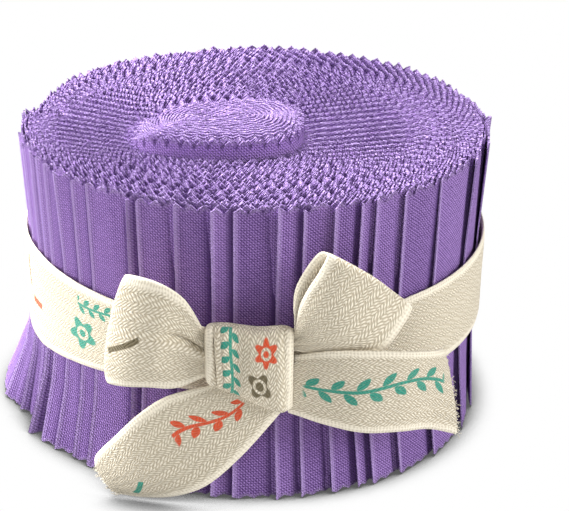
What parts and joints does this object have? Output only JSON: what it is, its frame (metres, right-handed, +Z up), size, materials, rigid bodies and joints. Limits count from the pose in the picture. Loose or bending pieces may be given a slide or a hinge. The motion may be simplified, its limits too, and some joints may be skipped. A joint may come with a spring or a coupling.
{
  "type": "rolled bundle of pre-cut fabric strips",
  "caption": "Round roll of folded cotton strips with zigzag cut edges, stood on its edge and tied round the waist with a cream cotton tape in a bow.",
  "frame": {"origin": "on the roll's axis, at the flat face that it stands on", "axes": "+Z up along the roll's axis, -Y towards the bow, +X to the right when the bow is faced"},
  "size_m": [0.1063, 0.1105, 0.067],
  "materials": {
    "strip_cotton": "matte plain-weave quilting cotton, lilac purple",
    "tape_cotton": "matte herringbone twill cotton tape, natural cream"
  },
  "bodies": {
    "root": {"strip_roll": "strip_cotton", "tie_band": "tape_cotton", "bow_knot": "tape_cotton", "bow_loop_left": "tape_cotton", "bow_loop_right": "tape_cotton", "bow_tail_left": "tape_cotton", "bow_tail_right": "tape_cotton"}
  },
  "joints": []
}
